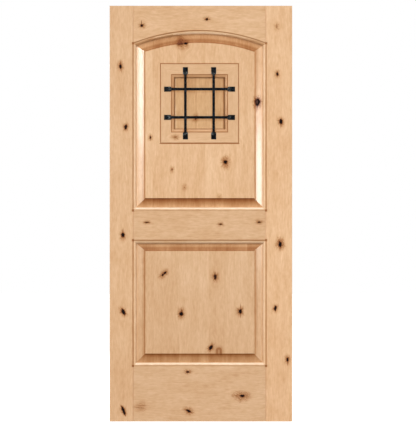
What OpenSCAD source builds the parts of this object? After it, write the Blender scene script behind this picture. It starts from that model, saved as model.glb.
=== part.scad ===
// Arched stile-and-rail door leaf in knotty alder, with a barred speakeasy window.
// The origin is the middle of the leaf's bottom edge. The outside face looks towards -Y.

/* [Leaf] */
// Width of the door leaf
leaf_w = 892; // [745:1:1100]
// Height of the door leaf
leaf_h = 2032; // [1690:1:2440]
// Thickness of the stiles and rails
leaf_t = 44.45; // [38:0.05:60]

/* [Stiles and rails] */
// Face width of the left stile, up to its moulding
left_stile_w = 114; // [90:0.5:140]
// Face width of the right stile, up to its moulding
right_stile_w = 127.5; // [90:0.5:140]
// Face height of the bottom rail
bottom_rail_h = 272; // [180:1:330]
// Face height of the lock rail
lock_rail_h = 146; // [110:1:200]
// Face height of the top rail over the middle of the arch
top_rail_h = 121; // [90:1:180]
// Height of the upper opening, from the lock rail to the foot of the arch
upper_opening_h = 816.5; // [700:0.5:980]
// Rise of the arch over its foot
arch_rise = 62.5; // [35:0.5:110]

/* [Moulding along the openings] */
// Width of the moulding
sticking_w = 16; // [12:0.5:22]
// Width of the fine channel along its outer line
quirk_w = 1.6; // [1:0.1:3]
// Depth of that channel
quirk_d = 2.6; // [1.5:0.1:4]
// How far the rounded part starts below the face
ovolo_drop = 1; // [0.5:0.1:1.4]
// Thickness of the moulding's edge beside the groove
lip_t = 2; // [1:0.1:4]
// Width of the groove that holds the panels
groove_t = 16; // [14:0.1:20]
// Depth of that groove
groove_d = 14; // [10:0.5:15]

/* [Dowels] */
// Diameter of the dowels between stiles and rails
dowel_d = 12.7; // [9:0.1:13]
// Length of the dowels
dowel_l = 110; // [80:1:140]
// Glue space round each dowel
dowel_gap = 0.1; // [0.05:0.01:0.2]

/* [Raised panels] */
// Thickness of the panels at their raised field
panel_t = 36.5; // [32:0.1:37]
// Thickness of the panels at the top of the bevel
bevel_t = 28; // [22:0.1:30]
// Distance from the opening's line to the raised field
raise_w = 59; // [48:0.5:75]
// The same distance at the head of the lower panel
lower_head_raise_w = 52; // [44:0.5:75]
// Space on each face of a panel's edge in its groove
panel_gap = 0.25; // [0.1:0.05:0.3]
// Space left in the groove for the panels to swell
swell_gap = 3; // [1:0.5:6]

/* [Window frame] */
// Outer width of the window frame
window_w = 382; // [318:0.5:459]
// Outer height of the window frame
window_h = 388.5; // [324:0.5:440]
// Distance from the top of the arch down to the window frame
window_drop = 161.5; // [130:0.5:200]
// Face width of the frame's members, up to their moulding
casing_w = 54; // [46:0.5:70]
// Width of that moulding
casing_mould_w = 15; // [12:0.5:20]
// How deep that moulding falls
casing_mould_d = 8.3; // [5:0.1:10]
// How far the frame stands proud of the raised field
casing_proud = 1.5; // [1:0.1:4]
// Bevel along the frame's outer edges
casing_ease = 1.2; // [0.6:0.1:1.4]
// Thickness of the lip that the shutter closes against
casing_lip_t = 8.5; // [5:0.1:10]
// Width of the rebate behind the lip
rebate_w = 12; // [9:0.5:14]
// Length of the tongue round the frame
casing_tongue_l = 6; // [4:0.5:8]
// Thickness of that tongue
casing_tongue_t = 8; // [5:0.5:10]

/* [Shutter] */
// Gap round the shutter's edge
shutter_gap = 2; // [1.5:0.1:3]
// Extra gap on its opening side
latch_gap = 0.5; // [0.3:0.1:2]
// Gap between the shutter's front and the lips at its sides
shutter_side_gap = 3.5; // [2.5:0.1:5]
// Gap between the shutter's front and the lips above and below it
shutter_end_gap = 1.2; // [0.8:0.1:3]
// How far the shutter's front lies behind the foot of the moulding
shutter_recess = 2; // [1:0.1:4]
// Space between the shutter and the back of the lip
lip_gap = 0.5; // [0.3:0.1:1]

/* [Grille] */
// Width of a grille bar
bar_w = 13; // [10:0.5:16]
// Depth of a grille bar
bar_t = 10; // [8:0.5:14]
// Distance between the two bars of a pair, centre to centre
bar_pitch = 138; // [100:1:150]
// Space between the window frame and the crosswise bars
bar_standoff = 3; // [2:0.5:10]
// Width of the flattened end of a bar
pad_w = 25; // [20:0.5:32]
// Length of that end
pad_l = 32; // [24:0.5:36]
// Thickness of that end
pad_t = 4; // [3:0.5:6]
// Length over which the end narrows to the bar
pad_taper = 6; // [4:0.5:10]
// Length over which a bar bends out from its end
bend_l = 12; // [9:0.5:16]
// Distance from the frame's outer edge to the end of a bar
pad_inset = 17.6; // [12:0.1:20]

/* [Shutter hinges] */
// Height of a hinge
hinge_h = 50; // [40:1:64]
// Width of a leaf from the pin's centre
hinge_leaf_w = 24; // [20:0.5:28]
// Thickness of a leaf
hinge_leaf_t = 2; // [1.5:0.1:2.5]
// Radius of the knuckles
knuckle_r = 3.5; // [3.2:0.1:5]
// Radius of the pin
pin_r = 1.6; // [1.2:0.1:2]
// Running clearance round the pin
pin_gap = 0.05; // [0.02:0.01:0.1]
// Clearance between knuckles, and round them
hinge_gap = 0.3; // [0.2:0.05:0.5]
// Distance between the hinges' centres
hinge_pitch = 176; // [110:1:210]

/* [Bolt and knob] */
// Radius of the bolt's rod
rod_r = 3; // [2.5:0.1:3.6]
// Length of the rod
rod_l = 59; // [56:0.5:70]
// How far the rod slides
bolt_travel = 16; // [10:0.5:17]
// Length of the bolt's plate
bolt_plate_l = 44; // [43:0.5:50]
// Height of the bolt's and the keeper's plates
bolt_plate_h = 26; // [24:0.5:32]
// Thickness of these plates
bolt_plate_t = 1.5; // [1:0.1:2]
// Length of each guide of the rod
guide_l = 7; // [5:0.5:8]
// Wall round the rod in its guides
guide_wall = 2; // [1.5:0.1:3]
// Running clearance round the rod
rod_gap = 0.06; // [0.02:0.01:0.1]
// Clearance round the rod in its keeper
keeper_gap = 0.4; // [0.3:0.05:0.8]
// Length of the keeper's plate
keeper_l = 22; // [20:0.5:26]
// Radius of the knob's head
knob_r = 12; // [9:0.5:15]
// Height of the knob
knob_h = 24; // [18:0.5:26]
// Height of the knob over the bolt
knob_over_bolt = 60; // [45:1:90]

/* [Screws] */
// Radius of the grille screws' shanks
grille_screw_r = 2.2; // [1.8:0.1:2.5]
// Length of those shanks
grille_screw_l = 26; // [18:1:32]
// Radius of the shanks of the screws in hinges, bolt and keeper
small_screw_r = 1.4; // [1:0.1:1.6]
// Length of those shanks
small_screw_l = 14; // [10:1:18]
// Space round each screw
screw_gap = 0.1; // [0.05:0.01:0.15]

/* [Hidden] */
$fn = 96;
alder = [0.88, 0.72, 0.54];
alder_light = [0.93, 0.79, 0.62];
beech = [0.80, 0.62, 0.42];
iron = [0.10, 0.12, 0.15];
steel = [0.22, 0.22, 0.24];

// The two openings
face_y = leaf_t / 2;
open_l = left_stile_w - leaf_w / 2;
open_r = leaf_w / 2 - right_stile_w;
open_w = open_r - open_l;
open_x = (open_l + open_r) / 2;
apex_z = leaf_h - top_rail_h;
spring_z = apex_z - arch_rise;
upper_z = spring_z - upper_opening_h;
lock_z = upper_z - lock_rail_h;
lower_z = bottom_rail_h;

// The arch, a circle through both feet and the apex
arch_r = (pow(open_w / 2, 2) + pow(arch_rise, 2)) / (2 * arch_rise);
arch_z = apex_z - arch_r;
arch_foot_z = arch_z + sqrt(pow(arch_r - sticking_w, 2) - pow(open_w / 2 - sticking_w, 2));

// Edges of the panels in their grooves
lip_y = groove_t / 2 + lip_t;
groove_in = sticking_w - groove_d;
panel_in = groove_in + swell_gap;
panel_y = panel_t / 2;
tongue_y = groove_t / 2 - panel_gap;
cove_r = (panel_t - bevel_t) / 2;
rail_end_gap = 1;
rail_l = open_l + groove_in + rail_end_gap;
rail_r = open_r - groove_in - rail_end_gap;

// The window frame, its clear window and the shutter behind it
casing_y = panel_y + casing_proud;
window_l = open_x - window_w / 2;
window_r = open_x + window_w / 2;
window_top = apex_z - window_drop;
window_bottom = window_top - window_h;
window_z = (window_top + window_bottom) / 2;
member_w = casing_w + casing_mould_w;
mould_foot_y = casing_y - casing_mould_d;
lip_back_y = mould_foot_y - casing_lip_t;
clear_l = window_l + member_w;
clear_r = window_r - member_w;
shutter_l = clear_l - rebate_w + shutter_gap;
shutter_r = clear_r + rebate_w - shutter_gap - latch_gap;
shutter_half_h = window_h / 2 - member_w + rebate_w - shutter_gap;
shutter_front_y = mould_foot_y - shutter_recess;
shutter_step_y = lip_back_y - lip_gap;
tongue_gap = 0.1;
tongue_end_gap = 0.5;

// The grille
rise_crosswise = bar_standoff;
rise_upright = bar_standoff + bar_t;
screw_from_end = pad_l / 2;
pan_r = 4.4;
pan_h = 2.6;

// The hinges
hinge_x = shutter_l - shutter_gap / 2;
hinge_y = casing_y + knuckle_r + hinge_gap;
plate_from_pin = 1;
hinge_screw_x = 14;
hinge_screw_pitch = 17;
hinge_zs = [window_z - hinge_pitch / 2, window_z + hinge_pitch / 2];
csk_r = 3;

// The bolt on the shutter and its keeper on the frame
bolt_z = window_z - knob_over_bolt / 2;
knob_z = bolt_z + knob_over_bolt;
bolt_y = casing_y + bolt_plate_t + rod_r + guide_wall;
guide_r = rod_r + guide_wall;
bolt_plate_r = shutter_r - 3.5;
bolt_plate_x = bolt_plate_r - bolt_plate_l;
guide_inset = 2;
rod_x = shutter_r - 2.5 - rod_l;
keeper_x = clear_r + rebate_w + 2;
keeper_guide_l = 8;
thumb_r = 3;
thumb_x = bolt_plate_x + guide_inset + guide_l + thumb_r + 2;
thumb_h = 9;
thumb_spigot_r = 1.5;
thumb_spigot_l = 3;
knob_x = shutter_r - 26.5;
knob_spigot_r = 2.5;
knob_spigot_l = 16;

function spread(low, high, count) = [for (i = [0:count - 1]) low + (high - low) * (i + 0.5) / count];
function backwards(v) = [for (i = [len(v) - 1:-1:0]) v[i]];
// Quarter of an ellipse, from straight up to level
function quarter(w, h, steps = 6) =
    [for (i = [0:steps]) [w * sin(90 * i / steps), h * cos(90 * i / steps)]];

// Half of the moulded and grooved edge: [distance into the opening, distance from mid-thickness]
function half_edge() = concat(
    [[0, face_y], [0, face_y - quirk_d], [quirk_w, face_y - quirk_d]],
    [for (p = quarter(sticking_w - quirk_w, face_y - ovolo_drop - lip_y)) [quirk_w + p.x, lip_y + p.y]],
    [[sticking_w, groove_t / 2], [groove_in, groove_t / 2]]
);
function whole_edge() = concat([for (p = half_edge()) [p.x, -p.y]], backwards(half_edge()));

// Everything on the opening's side of the moulded edge, out to reach
module opening_2d(reach) {
    past = face_y + 1;
    polygon(concat([[reach, -past], [0, -past]], whole_edge(), [[0, past], [reach, past]]));
}

// What is cut off both faces along a raised panel's edge
module bevel_2d(raise) {
    outline = concat(
        [[0, tongue_y], [sticking_w, tongue_y]],
        [for (p = quarter(cove_r, cove_r)) [raise - cove_r + p.x, panel_y - p.y]],
        [[raise, panel_y + 1], [0, panel_y + 1]]
    );
    polygon(outline);
    mirror([0, 1]) polygon(outline);
}

// A section drawn as [into the opening, y] runs along one edge of an opening
module run() linear_extrude(2 * leaf_h, center = true) children();
module along_left() translate([open_l, 0, 0]) children();
module along_right() translate([open_r, 0, 0]) mirror([1, 0, 0]) children();
module along_sill(z) translate([open_x, 0, z]) rotate([0, -90, 0]) children();
module along_head(z) translate([open_x, 0, z]) rotate([0, 90, 0]) children();
module along_arch()
    translate([open_x, 0, arch_z]) rotate([90, 0, 0]) rotate_extrude($fn = 4 * $fn)
        translate([arch_r, 0]) mirror([1, 0]) children();

// Round things that stand on the back or the front, with +Z of the child pointing out
module out_of_back(x, y, z) translate([x, y, z]) rotate([-90, 0, 0]) children();
module out_of_front(x, y, z) translate([x, y, z]) rotate([90, 0, 0]) children();

// ---- Stiles, rails and the dowels between them

dowel_zs = concat(spread(0, lower_z, 3), spread(lock_z, upper_z, 2), spread(spring_z, leaf_h, 2));
dowel_xs = [open_l + groove_in, open_r - groove_in];

module dowels(gap) {
    for (x = dowel_xs, z = dowel_zs)
        translate([x, 0, z]) rotate([0, 90, 0])
            cylinder(d = dowel_d + 2 * gap, h = dowel_l + 20 * gap, center = true);
}

module stile_blank(w) {
    difference() {
        translate([-w, -face_y, 0]) cube([w + sticking_w, leaf_t, leaf_h]);
        run() opening_2d(sticking_w + 1);
    }
}

module left_stile() {
    color(alder) difference() {
        along_left() stile_blank(left_stile_w);
        dowels(dowel_gap);
    }
}

module right_stile() {
    color(alder) difference() {
        along_right() stile_blank(right_stile_w);
        dowels(dowel_gap);
    }
}

// A rail with its ends shaped over the stiles' mouldings; its children are cut out of it
module rail(low, high) {
    difference() {
        translate([rail_l, -face_y, low]) cube([rail_r - rail_l, leaf_t, high - low]);
        along_left() stile_blank(left_stile_w);
        along_right() stile_blank(right_stile_w);
        dowels(dowel_gap);
        children();
    }
}

module top_rail() {
    color(alder) rail(arch_foot_z - 1, leaf_h)
        along_arch() opening_2d(apex_z - arch_foot_z + 10);
}

module lock_rail() {
    color(alder) rail(lock_z - sticking_w, upper_z + sticking_w) {
        along_head(lock_z) run() opening_2d(sticking_w + 1);
        along_sill(upper_z) run() opening_2d(sticking_w + 1);
    }
}

module bottom_rail() {
    color(alder) rail(0, lower_z + sticking_w)
        along_sill(lower_z) run() opening_2d(sticking_w + 1);
}

module rail_dowels() {
    color(beech) dowels(0);
}

// ---- Raised panels, loose in the grooves

module upper_panel() {
    color(alder_light) difference() {
        rotate([90, 0, 0]) linear_extrude(panel_t, center = true) intersection() {
            translate([open_l + panel_in, upper_z + panel_in])
                square([open_w - 2 * panel_in, apex_z - upper_z]);
            translate([open_x, arch_z]) circle(r = arch_r - panel_in, $fn = 4 * $fn);
        }
        along_left() run() bevel_2d(raise_w);
        along_right() run() bevel_2d(raise_w);
        along_sill(upper_z) run() bevel_2d(raise_w);
        along_arch() bevel_2d(raise_w);
        translate([open_x, 0, window_z]) {
            cube([window_w, panel_t + 2, window_h], center = true);
            cube([
                window_w + 2 * (casing_tongue_l + tongue_end_gap),
                casing_tongue_t + 2 * tongue_gap,
                window_h + 2 * (casing_tongue_l + tongue_end_gap)
            ], center = true);
        }
    }
}

module lower_panel() {
    color(alder_light) difference() {
        translate([open_l + panel_in, -panel_y, lower_z + panel_in])
            cube([open_w - 2 * panel_in, panel_t, lock_z - lower_z - 2 * panel_in]);
        along_left() run() bevel_2d(raise_w);
        along_right() run() bevel_2d(raise_w);
        along_sill(lower_z) run() bevel_2d(raise_w);
        along_head(lock_z) run() bevel_2d(lower_head_raise_w);
    }
}

// ---- Window frame: four mitred members, tongued into the panel and rebated for the shutter

function casing_section() = concat(
    [[0, -casing_y + casing_ease], [casing_ease, -casing_y], [casing_w, -casing_y],
     [casing_w, -casing_y + quirk_d / 2]],
    [for (p = quarter(casing_mould_w, casing_mould_d - quirk_d / 2)) if (p.x > 0)
        [casing_w + p.x, -mould_foot_y - p.y]],
    [[member_w, -lip_back_y], [member_w - rebate_w, -lip_back_y],
     [member_w - rebate_w, casing_y], [casing_ease, casing_y], [0, casing_y - casing_ease],
     [0, casing_tongue_t / 2], [-casing_tongue_l, casing_tongue_t / 2],
     [-casing_tongue_l, -casing_tongue_t / 2], [0, -casing_tongue_t / 2]]
);

// One member, upright, with its outer edge on x = 0
module casing(length) {
    tip = length / 2;
    intersection() {
        linear_extrude(length + 4 * casing_tongue_l, center = true) polygon(casing_section());
        rotate([90, 0, 0]) linear_extrude(4 * casing_y, center = true) polygon([
            [-casing_tongue_l, -tip - casing_tongue_l], [member_w, member_w - tip],
            [member_w, tip - member_w], [-casing_tongue_l, tip + casing_tongue_l]
        ]);
    }
}

module grille_screw_holes() {
    grille_screw_places() translate([0, 0, -grille_screw_l - 1])
        cylinder(r = grille_screw_r + screw_gap, h = grille_screw_l + 2);
}

module window_frame_left() {
    color(alder) difference() {
        translate([window_l, 0, window_z]) casing(window_h);
        grille_screw_holes();
        hinge_screw_places(-1) small_screw_hole();
    }
}

module window_frame_right() {
    color(alder) difference() {
        translate([window_r, 0, window_z]) mirror([1, 0, 0]) casing(window_h);
        grille_screw_holes();
        keeper_screw_places() small_screw_hole();
    }
}

module window_frame_top() {
    color(alder) difference() {
        translate([open_x, 0, window_top]) rotate([0, 90, 0]) casing(window_w);
        grille_screw_holes();
    }
}

module window_frame_bottom() {
    color(alder) difference() {
        translate([open_x, 0, window_bottom]) rotate([0, -90, 0]) casing(window_w);
        grille_screw_holes();
    }
}

// ---- Grille: four forged bars with flattened ends, crosswise ones behind upright ones

// One bar along X, with its flattened ends on z = 0 and z pointing out of the door
module grille_bar(length, rise) {
    tip = length / 2;
    foot = tip - pad_l;
    knee = foot - bend_l;
    difference() {
        union() {
            rotate([90, 0, 0]) linear_extrude(bar_w, center = true) polygon([
                [-tip, 0], [-foot, 0], [-knee, rise], [knee, rise], [foot, 0], [tip, 0],
                [tip, pad_t], [foot, pad_t], [knee, rise + bar_t], [-knee, rise + bar_t],
                [-foot, pad_t], [-tip, pad_t]
            ]);
            for (side = [-1, 1]) scale([side, 1, 1]) linear_extrude(pad_t) polygon([
                [tip, -pad_w / 2], [tip, pad_w / 2], [foot, pad_w / 2],
                [foot - pad_taper, bar_w / 2], [foot - pad_taper, -bar_w / 2], [foot, -pad_w / 2]
            ]);
        }
        for (side = [-1, 1]) translate([side * (tip - screw_from_end), 0, -1])
            cylinder(r = grille_screw_r + screw_gap, h = pad_t + 2);
    }
}

module bar_across(z) {
    color(iron) out_of_front(open_x, -casing_y, z)
        grille_bar(window_w - 2 * pad_inset, rise_crosswise);
}

module bar_upright(x) {
    color(iron) out_of_front(x, -casing_y, window_z) rotate([0, 0, 90])
        grille_bar(window_h - 2 * pad_inset, rise_upright);
}

module grille_bar_left() bar_upright(open_x - bar_pitch / 2);
module grille_bar_right() bar_upright(open_x + bar_pitch / 2);
module grille_bar_upper() bar_across(window_z + bar_pitch / 2);
module grille_bar_lower() bar_across(window_z - bar_pitch / 2);

module grille_screw_places() {
    half_w = window_w / 2 - pad_inset - screw_from_end;
    half_h = window_h / 2 - pad_inset - screw_from_end;
    for (side = [-1, 1], pair = [-1, 1]) {
        out_of_front(open_x + side * half_w, -casing_y, window_z + pair * bar_pitch / 2) children();
        out_of_front(open_x + pair * bar_pitch / 2, -casing_y, window_z + side * half_h) children();
    }
}

module grille_screws() {
    color(iron) grille_screw_places() difference() {
        rotate_extrude() polygon(concat(
            [[0, -grille_screw_l], [grille_screw_r, 2 * grille_screw_r - grille_screw_l],
             [grille_screw_r, pad_t], [pan_r, pad_t]],
            [for (p = backwards(quarter(pan_r, pan_h))) if (p.y > 0) [p.x, pad_t + p.y]]
        ));
        translate([0, 0, pad_t + pan_h]) cube([2 * pan_r + 1, 1.2, 2.4], center = true);
    }
}

// ---- Shutter behind the window

module shutter() {
    front_half_w = (clear_r - clear_l) / 2 - shutter_side_gap;
    front_half_h = window_h / 2 - member_w - shutter_end_gap;
    color(alder_light) difference() {
        union() {
            translate([shutter_l, -shutter_step_y, window_z - shutter_half_h])
                cube([shutter_r - shutter_l, shutter_step_y + casing_y, 2 * shutter_half_h]);
            translate([open_x - front_half_w, -shutter_front_y, window_z - front_half_h])
                cube([2 * front_half_w, shutter_front_y, 2 * front_half_h]);
        }
        hinge_screw_places(1) small_screw_hole();
        bolt_screw_places() small_screw_hole();
        out_of_back(knob_x, casing_y, knob_z) translate([0, 0, -knob_spigot_l - 1])
            cylinder(r = knob_spigot_r + screw_gap, h = knob_spigot_l + 2);
    }
}

module shutter_knob() {
    base_r = 0.75 * knob_r;
    neck_r = 0.45 * knob_r;
    base_h = 3;
    head_h = knob_h / 3;
    color(iron) out_of_back(knob_x, casing_y, knob_z) rotate_extrude() polygon(concat(
        [[0, -knob_spigot_l], [knob_spigot_r, -knob_spigot_l], [knob_spigot_r, 0], [base_r, 0],
         [base_r, base_h / 2], [neck_r + 1, base_h], [neck_r, 2 * base_h],
         [neck_r, knob_h - 1.8 * head_h], [knob_r, knob_h - head_h]],
        [for (p = backwards(quarter(knob_r, head_h))) if (p.y > 0) [p.x, knob_h - head_h + p.y]]
    ));
}

// ---- Small countersunk screws, all driven in from the back

module hinge_screw_places(side) {
    for (z = hinge_zs, step = [-1, 0, 1])
        out_of_back(hinge_x + side * hinge_screw_x, casing_y, z + step * hinge_screw_pitch) children();
}

module bolt_screw_places() {
    for (x = [bolt_plate_x + guide_inset + guide_l / 2, bolt_plate_r - guide_inset - guide_l / 2],
            side = [-1, 1])
        out_of_back(x, casing_y, bolt_z + side * (bolt_plate_h / 2 - csk_r - 0.5)) children();
}

module keeper_screw_places() {
    for (side = [-1, 1])
        out_of_back(keeper_x + keeper_l - csk_r - 2, casing_y, bolt_z + side * bolt_plate_h / 4)
            children();
}

module small_screw_hole() {
    translate([0, 0, -small_screw_l - 1])
        cylinder(r = small_screw_r + screw_gap, h = small_screw_l + 2);
}

// Countersink for a screw through a plate
module countersink(plate_t) {
    translate([0, 0, -1]) cylinder(r = small_screw_r + screw_gap, h = plate_t + 2);
    translate([0, 0, plate_t - csk_r + small_screw_r])
        cylinder(r1 = small_screw_r + screw_gap, r2 = csk_r + screw_gap, h = csk_r - small_screw_r);
    translate([0, 0, plate_t]) cylinder(r = csk_r + screw_gap, h = 2);
}

module small_screw(plate_t) {
    head_h = csk_r - small_screw_r;
    difference() {
        rotate_extrude() polygon([
            [0, -small_screw_l], [small_screw_r, 2 * small_screw_r - small_screw_l],
            [small_screw_r, plate_t - head_h], [csk_r, plate_t], [0, plate_t]
        ]);
        translate([0, 0, plate_t]) cube([2 * csk_r + 1, 0.8, 1.2], center = true);
    }
}

// ---- Two butt hinges, with their plates on the back of the frame and of the shutter

frame_knuckles = [[-hinge_h / 2, -hinge_h / 6], [hinge_h / 6, hinge_h / 2]];
shutter_knuckles = [[hinge_gap - hinge_h / 6, hinge_h / 6 - hinge_gap]];

// One leaf round the pin's axis; its plate lies on the side given as -1 or 1
module hinge_leaf(side, own, other) {
    plate_y = -knuckle_r - hinge_gap;
    color(iron) difference() {
        union() {
            scale([side, 1, 1]) translate([plate_from_pin, plate_y, -hinge_h / 2])
                cube([hinge_leaf_w - plate_from_pin, hinge_leaf_t, hinge_h]);
            for (k = own) translate([0, 0, k[0]]) cylinder(r = knuckle_r, h = k[1] - k[0]);
        }
        for (k = other) translate([0, 0, k[0] - hinge_gap])
            cylinder(r = knuckle_r + hinge_gap, h = k[1] - k[0] + 2 * hinge_gap);
        cylinder(r = pin_r + pin_gap, h = hinge_h + 2, center = true);
        for (step = [-1, 0, 1])
            out_of_back(side * hinge_screw_x, plate_y, step * hinge_screw_pitch)
                countersink(hinge_leaf_t);
    }
}

module frame_leaf(z) translate([hinge_x, hinge_y, z]) hinge_leaf(-1, frame_knuckles, shutter_knuckles);
module shutter_leaf(z) translate([hinge_x, hinge_y, z]) hinge_leaf(1, shutter_knuckles, frame_knuckles);

module hinge_frame_leaf_lower() frame_leaf(hinge_zs[0]);
module hinge_frame_leaf_upper() frame_leaf(hinge_zs[1]);
module hinge_shutter_leaf_lower() shutter_leaf(hinge_zs[0]);
module hinge_shutter_leaf_upper() shutter_leaf(hinge_zs[1]);

module hinge_pin(z) {
    tip_h = 2;
    color(steel) translate([hinge_x, hinge_y, z]) {
        cylinder(r = pin_r, h = hinge_h, center = true);
        for (side = [-1, 1]) scale([1, 1, side]) translate([0, 0, hinge_h / 2]) rotate_extrude()
            polygon(concat([[0, 0]], backwards(quarter(knuckle_r - 0.4, tip_h))));
    }
}

module hinge_pin_lower() hinge_pin(hinge_zs[0]);
module hinge_pin_upper() hinge_pin(hinge_zs[1]);

module hinge_frame_screws() {
    color(steel) hinge_screw_places(-1) small_screw(hinge_leaf_t);
}

module hinge_shutter_screws() {
    color(steel) hinge_screw_places(1) small_screw(hinge_leaf_t);
}

// ---- Barrel bolt on the shutter, and its keeper on the frame

// A guide that carries the rod over its plate, with the rod's axis along X
module guide(x, length, gap) {
    translate([x, bolt_y, bolt_z]) difference() {
        union() {
            rotate([0, 90, 0]) cylinder(r = guide_r, h = length);
            translate([0, casing_y - bolt_y, -guide_r])
                cube([length, bolt_y - casing_y, 2 * guide_r]);
        }
        translate([-1, 0, 0]) rotate([0, 90, 0]) cylinder(r = rod_r + gap, h = length + 2);
    }
}

module bolt_plate() {
    color(iron) {
        difference() {
            translate([bolt_plate_x, casing_y, bolt_z - bolt_plate_h / 2])
                cube([bolt_plate_l, bolt_plate_t, bolt_plate_h]);
            bolt_screw_places() countersink(bolt_plate_t);
        }
        guide(bolt_plate_x + guide_inset, guide_l, rod_gap);
        guide(bolt_plate_r - guide_inset - guide_l, guide_l, rod_gap);
    }
}

module bolt_rod() {
    tip = 1;
    color(steel) difference() {
        translate([rod_x, bolt_y, bolt_z]) rotate([0, 90, 0]) {
            cylinder(r = rod_r, h = rod_l - tip);
            translate([0, 0, rod_l - tip]) cylinder(r1 = rod_r, r2 = rod_r - tip, h = tip);
        }
        out_of_back(thumb_x, bolt_y + rod_r - thumb_spigot_l, bolt_z)
            cylinder(r = thumb_spigot_r + screw_gap, h = thumb_spigot_l + 1);
    }
}

module bolt_thumb_knob() {
    neck_r = thumb_r - 0.8;
    foot_h = 1;
    color(iron) out_of_back(thumb_x, bolt_y + rod_r + screw_gap, bolt_z)
        rotate_extrude() polygon(concat(
            [[0, -thumb_spigot_l], [thumb_spigot_r, -thumb_spigot_l], [thumb_spigot_r, 0], [thumb_r, 0],
             [thumb_r, foot_h], [neck_r, 2 * foot_h], [neck_r, thumb_h - 2 * thumb_r]],
            [for (p = backwards(quarter(thumb_r, thumb_r))) if (p.y > 0) [p.x, thumb_h - thumb_r + p.y]]
        ));
}

module bolt_plate_screws() {
    color(steel) bolt_screw_places() small_screw(bolt_plate_t);
}

// A block on the plate that reaches half past the rod's axis above, below and behind
module keeper_block(length, half, foot) {
    translate([-length / 2, -foot, -half])
        cube([length, bolt_y - casing_y + half + foot, 2 * half]);
}

module bolt_keeper() {
    color(iron) {
        difference() {
            translate([keeper_x, casing_y, bolt_z - bolt_plate_h / 2])
                cube([keeper_l, bolt_plate_t, bolt_plate_h]);
            keeper_screw_places() countersink(bolt_plate_t);
        }
        translate([keeper_x + 1 + keeper_guide_l / 2, casing_y, bolt_z]) difference() {
            keeper_block(keeper_guide_l, rod_r + keeper_gap + guide_wall, 0);
            keeper_block(keeper_guide_l + 2, rod_r + keeper_gap, 1);
        }
    }
}

module bolt_keeper_screws() {
    color(steel) keeper_screw_places() small_screw(bolt_plate_t);
}

left_stile();
right_stile();
top_rail();
lock_rail();
bottom_rail();
rail_dowels();
upper_panel();
lower_panel();
window_frame_left();
window_frame_right();
window_frame_top();
window_frame_bottom();
grille_bar_left();
grille_bar_right();
grille_bar_upper();
grille_bar_lower();
grille_screws();
shutter();
shutter_knob();
hinge_frame_leaf_upper();
hinge_frame_leaf_lower();
hinge_shutter_leaf_upper();
hinge_shutter_leaf_lower();
hinge_pin_upper();
hinge_pin_lower();
hinge_frame_screws();
hinge_shutter_screws();
bolt_plate();
bolt_rod();
bolt_thumb_knob();
bolt_plate_screws();
bolt_keeper();
bolt_keeper_screws();
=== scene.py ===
import math
from collections import namedtuple

import bmesh
import bpy
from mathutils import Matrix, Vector


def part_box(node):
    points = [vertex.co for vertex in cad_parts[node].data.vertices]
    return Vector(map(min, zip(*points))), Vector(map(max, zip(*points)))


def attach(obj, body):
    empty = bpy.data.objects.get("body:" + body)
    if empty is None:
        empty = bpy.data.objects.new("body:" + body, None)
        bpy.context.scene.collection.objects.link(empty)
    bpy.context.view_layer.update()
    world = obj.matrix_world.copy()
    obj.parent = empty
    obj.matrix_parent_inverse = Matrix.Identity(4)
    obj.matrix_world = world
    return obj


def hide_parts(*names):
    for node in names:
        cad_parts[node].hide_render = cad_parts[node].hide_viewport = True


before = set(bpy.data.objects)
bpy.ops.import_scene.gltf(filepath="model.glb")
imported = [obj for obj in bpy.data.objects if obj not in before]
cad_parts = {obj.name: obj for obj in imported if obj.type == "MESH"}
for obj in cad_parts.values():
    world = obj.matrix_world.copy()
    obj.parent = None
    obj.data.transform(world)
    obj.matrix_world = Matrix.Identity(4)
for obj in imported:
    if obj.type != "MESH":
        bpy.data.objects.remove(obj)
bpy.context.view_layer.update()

# ==== Left stile
# An upright of knotty alder the full height of the leaf, its inner edge moulded and grooved
# for the panels. The rails are dowelled and glued into it.

MM = 0.001
STICKING = 16 * MM  # width of the moulding along the openings
BEVEL_WIDTH = 60 * MM  # from the same edge across a panel's bevel, into its field
PANEL_IN = 5 * MM  # the panels' edges reach this far past the moulding's outer line
ARCH_RISE = 62.5 * MM  # the upper opening's head, from its ends to its middle


def box(node):
    """Lowest and highest corner of a CAD node."""
    low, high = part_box(node)
    return Vector(low), Vector(high)


def paint(red, green, blue):
    """A colour as a finisher mixes it, from 0 to 255, in linear light."""
    light = [
        ((shade / 255 + 0.055) / 1.055) ** 2.4 if shade > 10 else shade / 3295
        for shade in (red, green, blue)
    ]
    return (*light, 1.0)


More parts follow.
